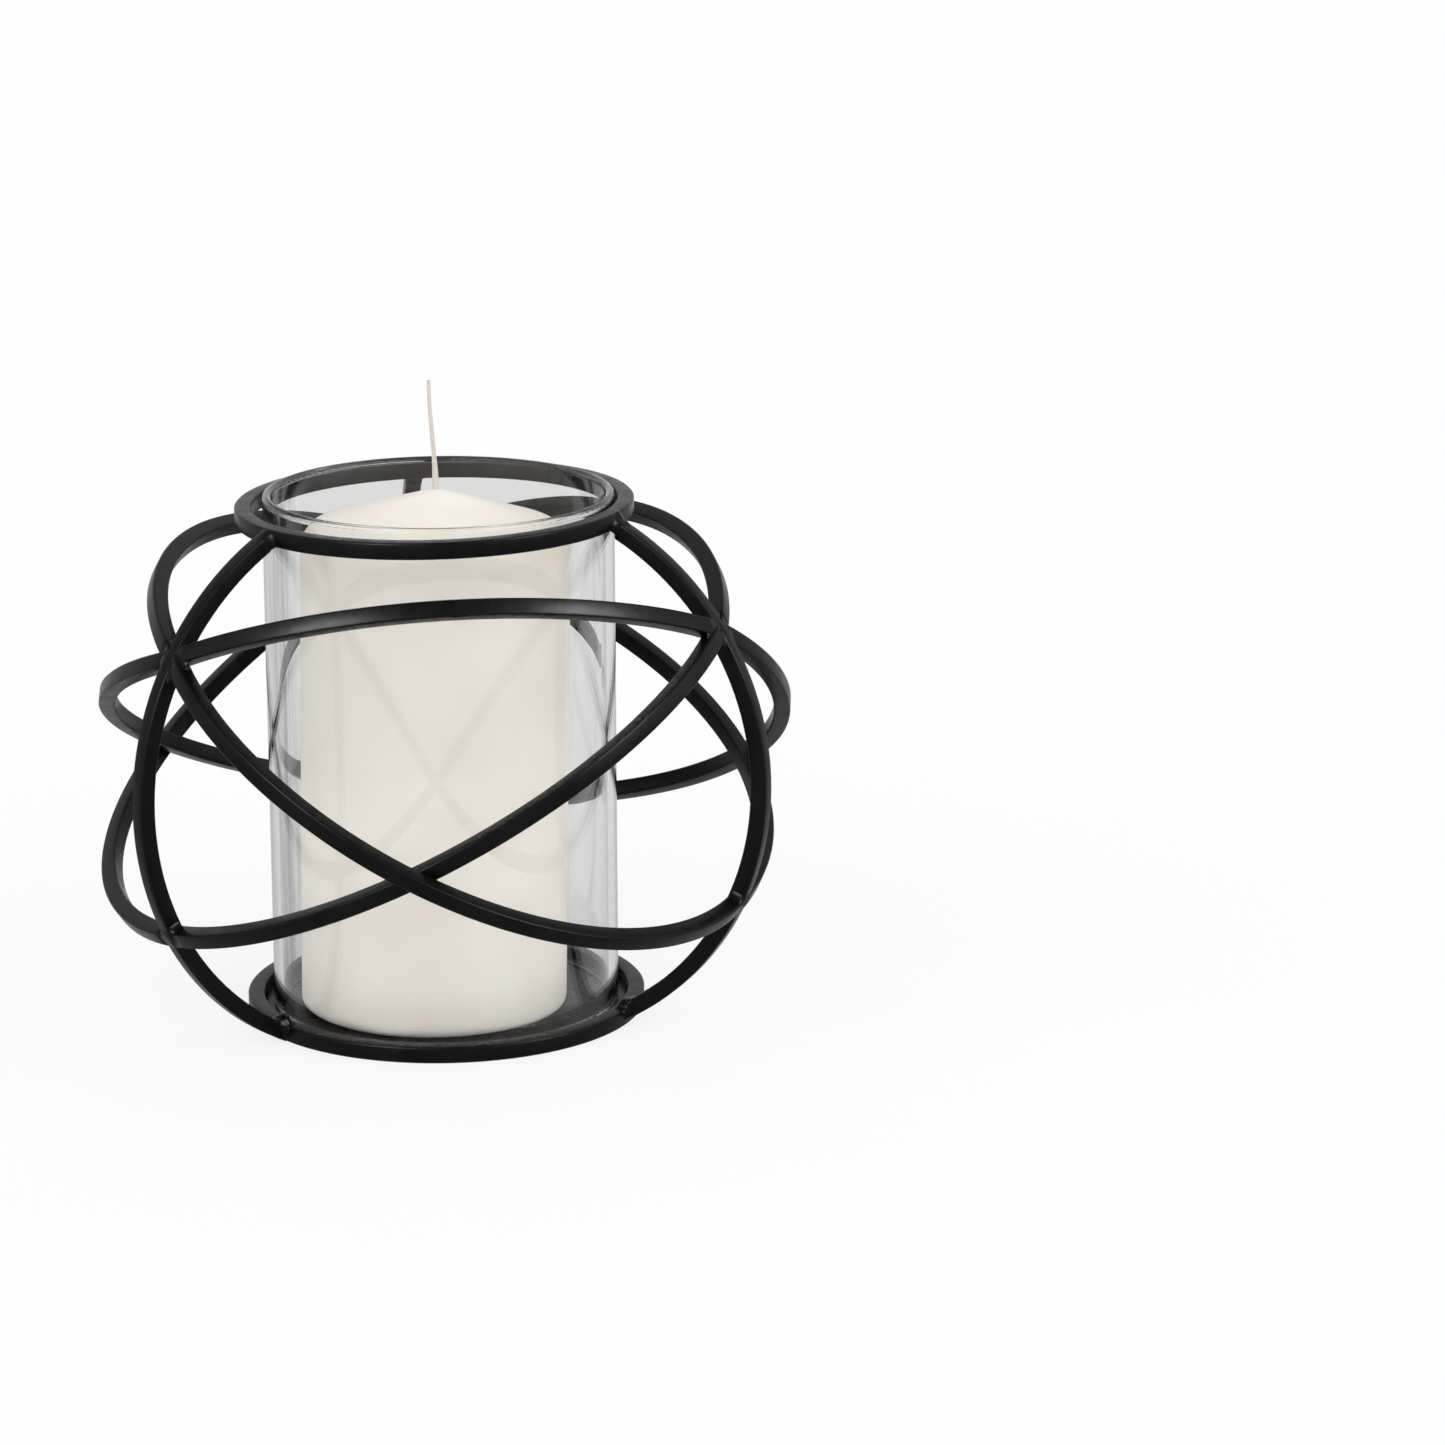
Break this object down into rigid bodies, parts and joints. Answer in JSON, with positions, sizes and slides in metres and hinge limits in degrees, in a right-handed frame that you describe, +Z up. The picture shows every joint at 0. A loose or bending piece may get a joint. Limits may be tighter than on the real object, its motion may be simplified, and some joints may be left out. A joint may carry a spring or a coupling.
{
  "type": "hurricane candle lantern",
  "caption": "Round cage of crossed black square-bar bows and ribs on a disc base, holding an open glass cylinder and an ivory pillar candle with a coned top.",
  "frame": {"origin": "centre of the base's underside, on which the lantern stands", "axes": "+Z up along the glass, -Y the front between two ribs, +X to the right seen from the front"},
  "size_m": [0.2605, 0.2669, 0.239],
  "materials": {
    "powder_coat": "satin black powder coat",
    "clear_glass": "clear, fire-polished rim",
    "candle_wax": "soft sheen ivory wax",
    "wick_cotton": "braided cotton, waxed"
  },
  "bodies": {
    "cage": {"top_ring": "powder_coat", "base_ring": "powder_coat", "rib_left": "powder_coat", "rib_right": "powder_coat", "rib_back": "powder_coat", "upper_bow_front": "powder_coat", "upper_bow_left": "powder_coat", "upper_bow_right": "powder_coat", "over_bow_front": "powder_coat", "over_bow_left": "powder_coat", "over_bow_right": "powder_coat", "under_bow_front": "powder_coat", "under_bow_left": "powder_coat", "under_bow_right": "powder_coat", "base_plate": "powder_coat", "top_welds": "powder_coat", "base_welds": "powder_coat", "upper_joint_welds": "powder_coat", "lower_joint_welds": "powder_coat"},
    "glass": {"glass_cylinder": "clear_glass"},
    "candle": {"candle_wax": "candle_wax", "candle_wick": "wick_cotton"}
  },
  "joints": [
    {"name": "glass_lift", "type": "slide", "parent": "cage", "child": "glass", "axis": [0, 0, 1], "range_m": [0, 0.25]},
    {"name": "candle_lift", "type": "slide", "parent": "cage", "child": "candle", "axis": [0, 0, 1], "range_m": [0, 0.21]}
  ]
}
